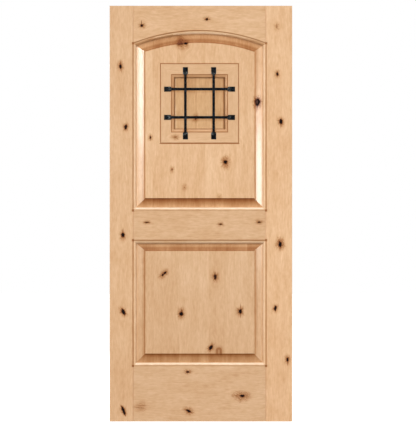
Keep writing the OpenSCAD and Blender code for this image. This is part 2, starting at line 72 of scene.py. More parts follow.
class Wire:
    """One output of a material's nodes. A sum or a product of wires adds Math nodes."""

    def __init__(self, tree, socket=None):
        self.tree = tree
        self.socket = socket

    def node(self, kind, settings=None, values=None, output=0):
        """Adds a node: its settings first, then its sockets' values or links."""
        made = self.tree.nodes.new("ShaderNode" + kind)
        for key, value in (settings or {}).items():
            setattr(made, key, value)
        for key, value in (values or {}).items():
            if isinstance(value, Wire):
                self.tree.links.new(value.socket, made.inputs[key])
            else:
                made.inputs[key].default_value = value
        return Wire(self.tree, made.outputs[output]) if made.outputs else None

    def maths(self, operation, *others):
        return self.node("Math", {"operation": operation}, dict(enumerate((self, *others))))

    def __add__(self, other):
        return self.maths("ADD", other)

    def __sub__(self, other):
        return self.maths("SUBTRACT", other)

    def __rsub__(self, other):
        return self.node("Math", {"operation": "SUBTRACT"}, {0: other, 1: self})

    def __mul__(self, other):
        return self.maths("MULTIPLY", other)

    def __truediv__(self, other):
        return self.maths("DIVIDE", other)

    __radd__ = __add__
    __rmul__ = __mul__

    def least(self, *others):
        """The smallest of this wire and the others."""
        result = self
        for other in others:
            result = result.maths("MINIMUM", other)
        return result

    def most(self, *others):
        """The largest of this wire and the others."""
        result = self
        for other in others:
            result = result.maths("MAXIMUM", other)
        return result

    def ease(self, low, high):
        """0 at low and 1 at high, smooth between; low may be the larger."""
        values = {"Value": self, "From Min": low, "From Max": high}
        return self.node("MapRange", {"interpolation_type": "SMOOTHSTEP"}, values)

    def off(self, middle):
        """How far this wire is from middle, either way."""
        return (self - middle).maths("ABSOLUTE")

    def band(self, middle, half):
        """1 where this wire is at middle, falling to 0 at half away from it."""
        return self.off(middle).ease(half, half * 0.2)

    def mix(self, first, second):
        """The first colour where this wire is 0 and the second where it is 1."""
        return self.node("Mix", {"data_type": "RGBA"}, {0: self, 6: first, 7: second}, output=2)

    def vector(self, x, y, z):
        """A place or a colour from its three parts."""
        return self.node("CombineXYZ", values={"X": x, "Y": y, "Z": z})

    def parts(self):
        """This wire's x, y and z."""
        split = self.node("SeparateXYZ", values={"Vector": self})
        return [Wire(self.tree, output) for output in split.socket.node.outputs]

    def noise(self, detail=2.0, roughness=0.5, scale=1.0):
        """Noise from 0 to 1 where this wire is the place."""
        values = {"Vector": self, "Scale": scale, "Detail": detail, "Roughness": roughness}
        return self.node("TexNoise", values=values)


def new_finish(name):
    """An empty material, and the wire that says where on the piece a point lies."""
    material = bpy.data.materials.new(name)
    material.use_nodes = True
    material.node_tree.nodes.clear()
    return material, Wire(material.node_tree).node("TexCoord", output="Object")


# The two openings, from the CAD pieces round them.
opening_left = box("left_stile")[1].x - STICKING
opening_right = box("right_stile")[0].x + STICKING
opening_x = (opening_left + opening_right) / 2
lower_sill = box("bottom_rail")[1].z - STICKING
lower_head = box("lock_rail")[0].z + STICKING
upper_sill = box("lock_rail")[1].z - STICKING
arch_top = box("upper_panel")[1].z + PANEL_IN
half_span = (opening_right - opening_left) / 2
arch_radius = (half_span**2 + ARCH_RISE**2) / (2 * ARCH_RISE)
arch_z = arch_top - arch_radius


def opening_depth(x, z, head_extra=0.0):
    """How far a point lies inside the nearer opening: below 0 on the stiles and rails."""
    sides = (x - opening_left).least(opening_right - x)
    out = x - opening_x
    up = z - arch_z
    arch = arch_radius - (out * out + up * up).maths("SQRT")
    upper = sides.least(z - upper_sill, arch)
    lower = sides.least(z - lower_sill, lower_head + head_extra - z)
    return upper.most(lower)


# A knot's centre across and along the grain, its size, its lean in degrees, the cracks that run
# up and down the grain from it, how strong the stain round it is and how far it spreads, how
# black its core is, how strong the rings of grain round it are, how ragged its outline is, and
# how much it narrows downwards: one that narrows has a lighter heart too. All lengths in mm.
Knot = namedtuple(
    "Knot", "across along wide long lean up down halo spread core rings ragged taper",
    defaults=(0, 0, 0, 1.0, 22, 1.0, 0.0, 1.0, 0.0))

LOWER_HALF = 900 * MM  # from here down painted shade darkens the upright pieces
FOOT_DARKEST = 250 * MM  # and from here down it is darkest
HONEY_PALE = (236, 198, 158)
HONEY_DEEP = (206, 157, 110)
BLACK_KNOT = paint(22, 12, 7)
STAIN_DRINKS = (0.77, 1.27, 1.86)  # how fast stain takes red, green and blue from the wood
GRAIN_WANDER = 16 * MM
STAVE_APART = 3.1  # metres along the grain from one stave to the next in the tree
LACQUER = 0.9
DRUNK_BY_ENDS = 0.8  # how much of the lacquer sinks into end grain
HALO_REACH = 1.12  # a halo's radius for each mm that a knot's stain spreads
HALO_STRETCH = 0.45  # below 1, it is longer along the grain
RING_FINENESS = 480  # how closely the rings of grain lie, in radians for each metre
CRACK_HALF = 2.0 * MM  # half the width of a crack with its brown edges
CRACK_HEART = 0.6 * MM  # and of its darkest part
CRACK_WANDER = 1.1 * MM


def knot_crack(side, rise, ripple, knot):
    """The hair crack that runs up and down the grain from a knot."""
    line = (side + ripple * CRACK_WANDER).maths("ABSOLUTE").ease(CRACK_HALF, CRACK_HEART)
    top = (knot.long / 2 + knot.up) * MM
    bottom = (-knot.long / 2 - knot.down) * MM
    return line * rise.ease(top, top * 0.5) * rise.ease(bottom, bottom * 0.5)


def knot_masks(across, along, ripple, knot):
    """How much of a knot's black core, brown rim and stained halo lies at each point."""
    lean = math.radians(knot.lean)
    u = across - knot.across * MM
    v = along - knot.along * MM
    side = u * math.cos(lean) + v * math.sin(lean)
    rise = v * math.cos(lean) - u * math.sin(lean)
    b = rise / (knot.long * MM / 2)
    a = side / (knot.wide * MM / 2)
    if knot.taper:
        a = a * (1 + (0.25 - b).most(0.0) * knot.taper)
    away = (a * a + b * b).maths("SQRT")

    # The outline is 1 away from the centre, pushed in and out by lobes that differ by knot.
    knot_seed = knot.across * 0.73 + knot.along * 0.37
    round_a = a / (away + 0.15)
    round_b = b / (away + 0.15)
    lobes = a.vector(round_a * 1.3, round_b * 1.3, knot_seed).noise(3.0, 0.65, 1.4)
    edge = away * (1 + (lobes - 0.5) * (1.5 * knot.ragged)) + ripple * 0.35
    patch = ripple.ease(0.25, 0.8) * (0.6 if knot.wide > 11 else 0.25)
    core = edge.ease(1.0, 0.84) * knot.core * (1 - patch)
    if knot.taper:
        heart_a = a + 0.22
        heart_b = b - 0.1
        heart = (heart_a * heart_a * 5 + heart_b * heart_b * 3).maths("SQRT").ease(1.15, 0.5)
        core = core * (1 - heart * (0.45 + ripple * 0.3))
    rim = edge.ease(1.5, 0.85) * (0.4 + knot.core * 0.8)
    if knot.up or knot.down:
        rim = rim.most(knot_crack(side, rise, ripple, knot) * (1.1 + ripple * 0.4))

    # The halo is longer along the grain, and breaks up into spokes and rings.
    far = (side * side + rise * rise * HALO_STRETCH).maths("SQRT")
    spokes = a.vector(round_a, round_b, far * 60 + knot_seed).noise(3.0, 0.7, 4.2)
    reach = knot.spread * HALO_REACH * MM
    fade = (far + (lobes - 0.5) * (reach * 0.9)).ease(reach, reach * 0.15)
    halo = fade * fade * (0.62 + (spokes - 0.5) * 2.9) * knot.halo
    if knot.rings:
        rings = (far * RING_FINENESS + (lobes - 0.5) * 9 + ripple).maths("SINE").ease(0.2, 1.0)
        halo = halo + rings * fade * rise.ease(8 * MM, -14 * MM) * knot.rings
    return core, rim, halo


def bend_round(across, along, knots):
    """The place across the grain, with the grain led round each knot."""
    bent = across
    for knot in knots:
        u = across - knot.across * MM
        v = along - knot.along * MM
        bend_u = (knot.wide * 1.5 + 8) * MM
        bend_v = (knot.long * 2.0 + 20) * MM
        near = ((u * u) / -(bend_u**2) + (v * v) / -(bend_v**2)).maths("EXPONENT")
        bent = bent - u * near * 0.85
    return bent


CHANNEL_HALF = 3 * MM  # half the width of the dark line that glaze leaves round an opening
SMEAR_HALF = 5.5 * MM  # half the width of the uneven smear beside it
JOINT_HALF = 0.9 * MM  # half the width of the line where a rail meets a stile


def stile_glaze(x, y, z, rub, end):
    """Glaze with painted shade in the fine channel round the openings, painted highlights on the
    moulding, and how far it dulls the lacquer.
    """
    depth = opening_depth(x, z)
    sides = (x - opening_left).least(opening_right - x)
    near_sill = z.off(upper_sill).least(z.off(lower_sill))

    # The channel's line and its smear are glaze with painted shade in the quirk; the line is faint
    # along the sills, which face up to the light: painted light.
    lit_along_sills = near_sill.ease(10 * MM, 7 * MM) * sides.ease(-3 * MM, 2 * MM)
    line = depth.band(-0.4 * MM, CHANNEL_HALF) * 0.78
    smear_and_shade = depth.band(0.4 * MM, SMEAR_HALF) * (0.15 + rub * 0.35)
    line = line.most(smear_and_shade) * (1 - lit_along_sills * 0.85)

    # It runs on up the joints as a hair line, and is darker in the corners of the openings.
    beside = x.off(opening_left).least(x.off(opening_right))
    joint = beside.ease(JOINT_HALF, JOINT_HALF / 3) * 0.1
    corner = near_sill.least(z.off(lower_head), z.off(arch_top - ARCH_RISE))
    darker_corners = beside.ease(8 * MM, 2 * MM) * corner.ease(9 * MM, 2 * MM) * 1.1

    # The moulding itself is painted paler, a painted highlight, most of all along the sills, which
    # keep their lacquer.
    on_sill = near_sill.ease(24 * MM, 20 * MM) * sides.ease(10 * MM, 18 * MM)
    painted_highlight = depth.ease(2 * MM, 9 * MM) * (on_sill * -0.1 - 0.14)
    dull = line.most(depth.ease(0.5 * MM, 4 * MM) * (0.75 - on_sill * 0.75))
    return line.most(joint, darker_corners) + painted_highlight, dull


Figure = namedtuple("Figure", "cloud broad figure mottle streak fibre fleck")
FIGURE_STRENGTH = Figure(
    cloud=0.6, broad=0.25, figure=0.5, mottle=0.55, streak=0.7, fibre=0.7, fleck=0)


def grain_layers(across, y, drift, bent):
    """Layers of figure from broad to fine, each a noise drawn out along the grain."""
    point = across.vector
    return Figure(
        cloud=point(across * 13, y * 13, drift * 5).noise(3.0, 0.55),
        broad=point(bent * 8, y * 9, drift * 1.6).noise(2.0),
        figure=point(bent * 48, y * 24, drift * 7).noise(3.0, 0.6),
        mottle=point(bent * 90, y * 60, drift * 42).noise(2.0, 0.55),
        streak=point(bent * 170, y * 90, drift * 15).noise(2.0, 0.6),
        fibre=point(bent * 420, y * 330, drift * 34).noise(2.0, 0.6),
        fleck=point(bent * 620, y * 620, drift * 48).noise(1.0).ease(0.66, 0.8))


def honey(tone, warm):
    """Alder's palest and deepest colour: tone above 1 is lighter, warm above 1 is yellower."""
    cast = (tone, tone / warm**0.3, tone / warm)
    pale = paint(*(min(255, shade * part) for shade, part in zip(HONEY_PALE, cast)))
    deep = paint(*(shade * part for shade, part in zip(HONEY_DEEP, cast)))
    return pale, deep


def alder(name, grain, knots=(), tone=1.0, seed=0.0, staves=(), glaze=None, sills=(), warm=1.0,
          contrast=1.0):
    """Lacquered alder. Grain is "X" or "Z"; glaze gives glaze with painted light and shade, and
    the lacquer's dullness, from a place. Each sill is a height above which the bevel's end grain
    darkens towards the
    field, stain and painted shade: where that starts and ends, in mm above the sill, and how much
    more it darkens there."""
    material, place = new_finish(name)
    x, y, z = place.parts()
    across, along = (x, z) if grain == "Z" else (z, x)

    # Staves glued side by side each have their own grain and a slightly different tone.
    drift = along + seed
    stave_tone = 0.0
    if staves:
        stave = across.maths("GREATER_THAN", staves[0] * MM)
        for edge in staves[1:]:
            stave = across.maths("GREATER_THAN", edge * MM) + stave
        drift = drift + stave * STAVE_APART
        stave_tone = (stave * 2.39 + seed).maths("SINE") * 0.09

    # The grain is led round the knots and wanders a little.
    sway = place.vector(across * 5, y * 5, drift * 2.2).noise(1.0) - 0.5
    bent = bend_round(across, along, knots) + sway * GRAIN_WANDER
    layers = grain_layers(across, y, drift, bent)
    varied = stave_tone
    for layer, strength in zip(layers, FIGURE_STRENGTH):
        if strength:
            varied = (layer - 0.5) * strength + varied
    depth = place.node("Clamp", values={"Value": 0.5 + varied * contrast})
    wood = depth.mix(*honey(tone, warm))

    # Stain gathers in short dark flecks and most of all across the grain's end, under the field.
    # The upright pieces are darker towards the foot: painted shade.
    stain = layers.fleck * 0.12
    if grain == "Z":
        stain = stain + z.ease(LOWER_HALF, FOOT_DARKEST) * 0.05
    end = place.node("Attribute", {"attribute_name": "end_grain"}, output="Fac")
    uneven = (layers.figure - 0.5) * 0.25 + (layers.cloud - 0.5) * 0.5
    stain = stain + end * (0.4 + uneven)
    # Painted shade with stain: each sill's bevel darkens towards the field's edge.
    for sill, start_at, full_at, darkening in sills:
        above = z - sill
        bevel = above.ease(BEVEL_WIDTH, BEVEL_WIDTH - 1 * MM) * above.ease(0, 1 * MM)
        soak_and_shading = above.ease(start_at * MM, full_at * MM) * darkening
        stain = stain + bevel * end * (soak_and_shading - 0.22)

    # Glaze and painted shade stay in the hollows of the mouldings and beside the panels' fields,
    # unevenly rubbed; the glaze functions paint highlights and paler light too.
    coat = LACQUER - end * DRUNK_BY_ENDS
    if glaze:
        rub = (layers.cloud - 0.5) * 1.6 + (layers.figure - 0.5) * 0.8 + 0.5
        caught, dull = glaze(x, y, z, rub, end)
        stain = stain + caught
        coat = coat * (1 - dull.least(1.0))

    # Knots are black and dull, with a brown rim, and lie a little low.
    ripple = (place.vector(across * 190, y * 60, along * 190).noise(2.0, 0.65) - 0.5) * 2.0
    rough = 0.42 + (layers.fibre - 0.5) * 0.16
    height = layers.fibre * 0.5 + layers.figure * 0.6 - layers.fleck * 0.5
    if knots:
        cores, rims, halos = zip(*(knot_masks(across, along, ripple, knot) for knot in knots))
        black = cores[0].most(*cores[1:])
        rim = rims[0].most(*rims[1:])
        stain = stain + halos[0].most(*halos[1:], 0.0) + rim
        rough = rough + black * 0.5
        coat = coat * (1 - black) * (1 - (rim * 0.4).least(0.8))
        height = height - black * 3 - rim * 0.6
    left = place.vector(*((stain * -drinks).maths("EXPONENT") for drinks in STAIN_DRINKS))
    wood = place.node("VectorMath", {"operation": "MULTIPLY"}, {0: wood, 1: left})
    if knots:
        wood = black.mix(wood, BLACK_KNOT)
    bump = place.node("Bump", values={"Strength": 0.35, "Distance": 0.25 * MM, "Height": height})
    surface = place.node("BsdfPrincipled", values={
        "Base Color": wood, "Roughness": rough, "Normal": bump, "Specular IOR Level": 0.16,
        "Coat Weight": coat, "Coat Roughness": 0.18, "IOR": 1.5,
    })
    place.node("OutputMaterial", values={"Surface": surface})
    return material


def stand_in(name, node, mesh, material, body="leaf", sharp=30, creases=(0, 0)):
    """Makes a finished mesh the visible piece for a CAD node. An edge stays sharp where it turns
    by more than sharp degrees, or by an angle between the two creases."""
    for face in mesh.faces:
        face.smooth = True
    for edge in mesh.edges:
        turn = math.degrees(edge.calc_face_angle(math.pi))
        edge.smooth = turn <= sharp and not creases[0] < turn < creases[1]
    data = bpy.data.meshes.new(name)
    mesh.to_mesh(data)
    mesh.free()
    data.materials.append(material)
    piece = bpy.data.objects.new(name, data)
    bpy.context.scene.collection.objects.link(piece)
    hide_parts(node)
    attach(piece, body)
    return piece


SAME_PLACE = 0.004 * MM  # corners nearer than this are one
FLAT = math.radians(0.15)  # faces that turn by less than this are one


def whole_copy(node):
    """A CAD node's mesh with its loose triangles joined and its flat faces made whole."""
    mesh = bmesh.new()
    mesh.from_mesh(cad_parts[node].data)
    bmesh.ops.remove_doubles(mesh, verts=mesh.verts, dist=SAME_PLACE)
    bmesh.ops.dissolve_limit(mesh, angle_limit=FLAT, verts=mesh.verts, edges=mesh.edges)
    return mesh


SHARP = math.radians(25)  # a gentler edge than this is left as it is
SHORTEST_EASED = 3 * MM  # and so is a shorter one


def ease_edges(mesh, chosen, width, segments=2):
    """Rounds the sharp outward edges that chosen picks."""
    edges = [
        edge for edge in mesh.edges
        if len(edge.link_faces) == 2 and edge.is_convex and edge.calc_face_angle() > SHARP
        and edge.calc_length() > SHORTEST_EASED and chosen(edge)
    ]
    bmesh.ops.bevel(
        mesh, geom=edges, offset=width, offset_type="OFFSET", segments=segments, profile=0.5,
        affect="EDGES", clamp_overlap=True, material=-1)


HAIR = 0.1 * MM  # nearer than this counts as touching
END_GRAIN_LEAN = 0.08  # a face that leans this much across the grain shows its end
leaf_low = box("left_stile")[0]
leaf_high = box("right_stile")[1]


def at_rim(point):
    """Whether a point lies on the leaf's outer edges."""
    in_x = min(point.x - leaf_low.x, leaf_high.x - point.x)
    in_z = min(point.z - leaf_low.z, leaf_high.z - point.z)
    return min(in_x, in_z) < HAIR


def board(name, node, material, grain, ease=0.5, body="leaf", rim_only=False, straight_only=False,
          creases=(0, 0)):
    """A wooden piece: its CAD shape with its front and back arrises eased by so many mm, only at
    the leaf's rim or only where they run straight if asked, and marked where end grain shows."""
    mesh = whole_copy(node)
    low, high = box(node)

    def on_a_face(edge):
        if rim_only and not all(at_rim(vert.co) for vert in edge.verts):
            return False
        run = edge.verts[1].co - edge.verts[0].co
        if straight_only and abs(run.x) > HAIR and abs(run.z) > HAIR:
            return False
        return any(all(abs(vert.co.y - y) < HAIR / 2 for vert in edge.verts)
                   for y in (low.y, high.y))

    ease_edges(mesh, on_a_face, ease * MM)
    end_mark = mesh.loops.layers.float.new("end_grain")
    axis = Vector((1, 0, 0)) if grain == "X" else Vector((0, 0, 1))
    for face in mesh.faces:
        shows_end = abs(face.normal.dot(axis)) > END_GRAIN_LEAN
        for loop in face.loops:
            loop[end_mark] = 1.0 if shows_end else 0.0
    piece = stand_in(name, node, mesh, material, body, creases=creases)
    smooth = piece.modifiers.new("even_shading", "WEIGHTED_NORMAL")
    smooth.keep_sharp = True


left_knots = [
    Knot(-393, 1735, 12, 20, lean=3, up=30, spread=26),
    Knot(-367, 1439, 12, 24, lean=-12, up=4, down=12, halo=1.1),
    Knot(-381, 912, 18, 21, up=30, halo=1.1, spread=26),
    Knot(-379, 536, 15, 31, lean=26, up=6, down=4, halo=1.1, spread=28),
    Knot(-378, 52, 12, 44, lean=20, up=6, down=6, halo=0.9, spread=24),
]
board(
    "left_stile_board", "left_stile",
    alder("alder_left_stile", "Z", left_knots, seed=1.3, glaze=stile_glaze),
    "Z", rim_only=True)

# ==== Right stile
# The matching upright, left a little wider than the other when the leaf was trimmed to size.
# It holds the other ends of the rails in the same way.

right_knots = [
    Knot(371, 1932, 4, 20, halo=0.45, spread=26, core=0.2),
    Knot(374, 1699, 10, 17, up=8, down=8, halo=0.8),
    Knot(391, 1467, 15, 26, down=24, halo=1.1, spread=26),
    Knot(387, 866, 13, 28, up=32, down=28, halo=1.5, spread=34),
    Knot(364, 554, 12, 24, lean=-8, up=8),
    Knot(423, 302, 11, 18, up=4, down=26, spread=24),
]
board(
    "right_stile_board", "right_stile",
    alder("alder_right_stile", "Z", right_knots, tone=1.03, seed=5.9, glaze=stile_glaze),
    "Z", rim_only=True)

# ==== Rails
# The top, lock and bottom rails run between the stiles with their grain level. Their ends are
# shaped over the stiles' mouldings; the top rail's lower edge is cut to the arch.

top_knots = [
    Knot(1935, -290, 12, 13, halo=0.9, spread=20),
    Knot(1948, -291, 22, 3, halo=0.3, spread=10, core=0.5),
    Knot(1966, 29, 12, 12, up=14, down=10, halo=0.7, spread=20),
]
lock_knots = [
    Knot(973, -264, 7, 14, up=12, down=12, halo=0.8, spread=18, core=0.7),
    Knot(964, 96, 7, 13, up=8, down=8, halo=0.8, spread=18, core=0.7),
    Knot(974, 285, 7, 14, up=8, down=10, halo=0.9, spread=20, core=0.8),
]
bottom_knots = [
    Knot(242, -65, 9, 14, down=4, up=12, spread=20, core=0.8),
    Knot(125, 202, 13, 19, up=8, down=6, halo=1.1, spread=40, rings=0.3),
    Knot(51, -60, 12, 22, lean=34, up=16, halo=1.1, spread=28),
    Knot(78, -292, 2.5, 40, lean=-5, halo=0.5, spread=30, core=0.1),
    Knot(66, -300, 2, 50, lean=3, halo=0.6, spread=30, core=0.2),
]
board(
    "top_rail_board", "top_rail",
    alder("alder_top_rail", "X", top_knots, seed=2.2, glaze=stile_glaze),
    "X", rim_only=True)
board(
    "lock_rail_board", "lock_rail",
    alder("alder_lock_rail", "X", lock_knots, tone=0.975, seed=8.4, glaze=stile_glaze),
    "X", rim_only=True)
board(
    "bottom_rail_board", "bottom_rail",
    alder("alder_bottom_rail", "X", bottom_knots, tone=0.97, seed=3.7, glaze=stile_glaze),
    "X", rim_only=True)

# ==== Raised panels
# Each panel is glued up from upright staves, bevelled on both faces, and sits loose in the
# grooves so that it can swell. The bevels' ends of grain take the stain darkest.

upper_knots = [
    Knot(-74, 1848, 20, 9, lean=8, spread=24),
    Knot(-98, 1845, 32, 8, lean=8, halo=1.4, spread=34, core=0.35),
    Knot(-247, 1389, 7, 15, down=14, halo=0.8, spread=18, core=0.8),
    Knot(277, 1560, 27, 38, lean=-4, up=6, down=10, halo=1.3, spread=36, ragged=0.35, taper=0.55),
    Knot(-141, 1232, 6, 9, halo=0.7, spread=18, core=0.6),
    Knot(120, 1269, 19, 17, up=6, down=10, halo=1.4, spread=34),
    Knot(-81, 1144, 3, 5, halo=0.5, core=0.3),
    Knot(89, 1097, 3, 5, halo=0.5, core=0.3),
]
lower_knots = [
    Knot(-187, 716, 9, 11, lean=-40, spread=24),
    Knot(-176, 726, 9, 17, lean=-50, up=8),
    Knot(70, 707, 12, 25, up=14, down=8, halo=1.2, spread=26, core=0.9),
    Knot(-96, 526, 19, 19, up=26, down=10, halo=1.3, spread=30),
    Knot(193, 538, 13, 23, up=34, down=26, halo=1.2, spread=28),
    Knot(49, 361, 14, 24, lean=-32, spread=26),
]
BEVEL_CREASES = (8, 14.4)  # where the bevels meet their flat edges and one another, in degrees
UPPER_STAVES = [-236, -118, 21, 138, 231]  # the staves' edges, in mm from the leaf's middle
LOWER_STAVES = [-228, -106, 38, 121, 226]
BEVEL_TOP = 57 * MM  # from an opening's edge to just below the raised field
HEAD_NARROWER = 7 * MM  # the lower panel's head bevel is this much narrower than its others
RIGHT_OUT = 4 * MM  # on the right-hand bevels all glaze lies this much nearer the opening's edge


def panel_glaze(x, y, z, rub, end, head_extra=0.0):
    """Glaze and painted shade at the top of a panel's bevels, beside the field, painted light at
    their foot, and where the lacquer is dull.
    """
    shifted = x - (x - opening_x).ease(0, 60 * MM) * RIGHT_OUT
    depth = opening_depth(shifted, z, head_extra)
    # Glaze with painted shade darkens the top of the bevel and the crease beside the field; the
    # bevel's foot is painted paler, painted light where the sticking shades it.
    rise = depth.ease(38 * MM, 53 * MM) * depth.ease(63 * MM, 58 * MM) * (0.16 + rub * 0.26)
    line = depth.band(BEVEL_TOP - 1 * MM, 4.2 * MM) * 0.55
    foot = depth.ease(24 * MM, 15 * MM) * -0.16

    # The side bevels take a little more stain towards the top of the leaf.
    on_sides = depth.ease(BEVEL_TOP, 52 * MM) * (1 - end)
    slope = on_sides * (z.ease(lower_head, upper_sill) * 0.09 - 0.05)

    # The head bevels' end grain is darkened in a band, stain and painted shade, and painted paler
    # at the foot: painted light.
    near_sill = z.off(upper_sill).least(z.off(lower_sill))
    head = end * near_sill.ease(100 * MM, 101 * MM)
    soak_and_shading = head * (depth.band(44 * MM, 9 * MM) * 0.24 - depth.ease(27 * MM, 16 * MM) * 0.12)
    dull = depth.band(BEVEL_TOP, 7 * MM).most(depth.ease(36 * MM, 15 * MM) * 0.8)
    return rise.most(line) + foot + slope + soak_and_shading, dull


CURL = Vector((88, 0, 347)) * MM
CURL_RADIUS = 9 * MM


def curl_glaze(x, y, z, rub, end):
    """A brown curl of grain beside the lowest knot, like the top of a horseshoe."""
    u = x - CURL.x
    v = z - CURL.z
    above = v.most(0.0)
    away = (u * u + above * above).maths("SQRT")
    curl = away.band(CURL_RADIUS, CURL_RADIUS) * v.ease(-30 * MM, -14 * MM)
    glow = (away - 4 * MM).ease(30 * MM, 2 * MM) * v.ease(-36 * MM, -16 * MM) * 0.34
    caught, dull = panel_glaze(x, y, z, rub, end, head_extra=HEAD_NARROWER)
    return caught.most(curl * (0.16 + rub * 0.62) + glow), dull


TONGUE = 6 * MM  # the window frame's members reach this far into the panel
frame_left = box("window_frame_left")[0].x + TONGUE
frame_right = box("window_frame_right")[1].x - TONGUE
frame_low = box("window_frame_bottom")[0].z + TONGUE
frame_high = box("window_frame_top")[1].z - TONGUE


def window_glaze(x, y, z, rub, end):
    """The upper panel's glaze, with a dark line in the corner round the window frame, glaze and
    painted shade, and a painted shadow under the frame's bottom member.
    """
    caught, dull = panel_glaze(x, y, z, rub, end)
    out = (frame_left - x).most(x - frame_right, frame_low - z, z - frame_high)
    corner = out.band(0, 4 * MM) * 0.7
    shadow_under_frame = out.band(1 * MM, 5 * MM) * (z - frame_low).ease(-1 * MM, -2 * MM) * 1.3
    return caught.most(corner, shadow_under_frame), dull


board(
    "upper_panel_board", "upper_panel",
    alder("alder_upper_panel", "Z", upper_knots, tone=1.015, seed=4.1, staves=UPPER_STAVES,
          glaze=window_glaze, sills=[(upper_sill, 13, 54, 0.71)]),
    "Z", creases=BEVEL_CREASES)
board(
    "lower_panel_board", "lower_panel",
    alder("alder_lower_panel", "Z", lower_knots, tone=0.975, seed=6.6, staves=LOWER_STAVES,
          glaze=curl_glaze, sills=[(lower_sill, 8, 62, 0.45)]),
    "Z", creases=BEVEL_CREASES)

# ==== Window frame
# Four mitred alder members, tongued into the cut-out of the upper panel and standing a little
# proud of it. Their inner edge is moulded, and rebated at the back for the shutter.

FRAME_FLAT = 54 * MM  # from the window frame's outer edge to its moulding
FRAME_MOULDING = 61 * MM  # to the moulding's middle
FRAME_FOOT = 69 * MM  # and to its inner foot, beside the shutter
BAR_SHADE_REACH = 20 * MM  # painted shade darkens the moulding this far from the middle of each bar


def casing_glaze(x, y, z, rub, end):
    """Dark lines at the window frame's outer edge, its step and its foot, glaze and painted shade;
    glaze smeared in its moulding, and painted shade beside the bars.
    """
    depth = (x - frame_left).least(frame_right - x, z - frame_low, frame_high - z)
    # Glaze and painted shade in the gap round the frame, at the moulding's step and in the gap
    # beside the shutter, darkest at the right.
    outer = depth.band(0, 3.8 * MM) * 0.85
    step = depth.band(FRAME_FLAT, 3.4 * MM) * 0.9
    at_left = (x - frame_left).ease(74 * MM, 72 * MM)
    at_right = (frame_right - x).ease(74 * MM, 72 * MM)
    foot = depth.band(FRAME_FOOT, 4 * MM) * (0.7 + at_left * 0.35 + at_right * 0.75)
    low_side = (z - frame_low).ease(72 * MM, 66 * MM)
    moulding = depth.band(FRAME_MOULDING, 13 * MM)
    shade_by_bars = []
    for bar in ("left", "right", "upper", "lower"):
        low, high = box(f"grille_bar_{bar}")
        middle = (low + high) / 2
        beside = x.off(middle.x) if bar in ("left", "right") else z.off(middle.z)
        shade_by_bars.append(beside.ease(BAR_SHADE_REACH, 8 * MM))
    shade_by_bars = shade_by_bars[0].most(*shade_by_bars[1:])
    # Glaze smeared in the moulding, less along the bottom member, and painted shade beside the
    # bars, which throw no shadow.
    smear_and_shade = moulding * (0.12 + rub * 0.4) * (1 - low_side * 0.25)
    smear_and_shade = smear_and_shade.most(moulding * shade_by_bars * (0.35 + rub * 0.6))
    dull = depth.ease(FRAME_FLAT - 4 * MM, FRAME_FLAT) * 0.85
    return outer.most(step, foot, smear_and_shade), dull


for place, grain, tone, seed, knots in (
    ("left", "Z", 0.995, 11.0, ()),
    ("right", "Z", 0.995, 12.5, ()),
    ("top", "X", 0.995, 13.1, ()),
    ("bottom", "X", 0.995, 14.8, (Knot(1390, -125, 4, 10, halo=0.9, core=0.5),)),
):
    board(
        f"window_frame_{place}_member", f"window_frame_{place}",
        alder(f"alder_frame_{place}", grain, knots, tone=tone, seed=seed, glaze=casing_glaze,
              contrast=0.7),
        grain, ease=0.3, straight_only=True)

# ==== Shutter
# A board of upright grain that closes the window from the inside. Its front steps up into the
# window, with a shadow gap at each side, and its edges close against the lip behind.

LIP = 10 * MM  # the shutter's raised front is set in this far from its edges
STREAK_X = -24 * MM  # a brown streak of grain up its middle
PAD_PAST_BAR = 6 * MM  # a bar's flattened ends reach this far past its sides
BAR_SHADOW_DROP = 16 * MM  # painted shadow reaches this far below each crosswise bar


def shutter_glaze(x, y, z, rub, end):
    """Painted light and shade on the shutter's front: paler at its left edge and foot, darker
    towards the top, a painted shadow in the gap at its right, and painted shadows under the
    crosswise bars."""
    low, high = box("shutter")
    front = y.ease(low.y + 5 * MM, low.y + 4 * MM)
    painted_light_left = (x - (low.x + LIP)).ease(12 * MM, 6 * MM) * front * -0.16
    shade = (high.x - LIP - x).ease(9 * MM, 2 * MM) * front * 0.8
    near_top = z.ease(high.z - 75 * MM, high.z - 12 * MM)
    painted_shade_top = z.ease(low.z, high.z) * 0.08 + near_top * 0.07 - 0.03
    streak = (x - STREAK_X + (rub - 0.5) * (3 * MM)).band(0, 4.5 * MM) * (rub * 0.35)
    bar_shadows = []
    for bar in ("upper", "lower"):
        below = box(f"grille_bar_{bar}")[0].z + PAD_PAST_BAR - z
        bar_shadows.append(below.ease(BAR_SHADOW_DROP, 1 * MM) * below.ease(-4 * MM, 0))
    painted_bar_shadow = bar_shadows[0].most(bar_shadows[1]) * front * (0.08 + rub * 0.3)
    return painted_light_left + shade + painted_shade_top + streak + painted_bar_shadow, shade


shutter_knots = [Knot(-26, 1480, 4, 9, halo=0.9)]
board(
    "shutter_board", "shutter",
    alder("alder_shutter", "Z", shutter_knots, tone=0.965, seed=9.2, staves=[-26, 51],
          glaze=shutter_glaze, warm=1.1, contrast=1.3),
    "Z", body="shutter", ease=0.6)

# ==== Rail dowels
# Fluted beech dowels, glued into the rails' ends and the stiles. They are hidden when the leaf
# is together.

def finish_node(node, material):
    """Gives a piece that keeps its CAD shape its finish."""
    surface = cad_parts[node].data.materials
    surface.clear()
    surface.append(material)


finish_node("rail_dowels", alder("beech_dowels", "X", tone=0.93, seed=20.0))

# ==== Grille
# Four bars of square iron, forged flat at the ends and hammered all over, then blackened.
# The uprights cross in front and are welded there.

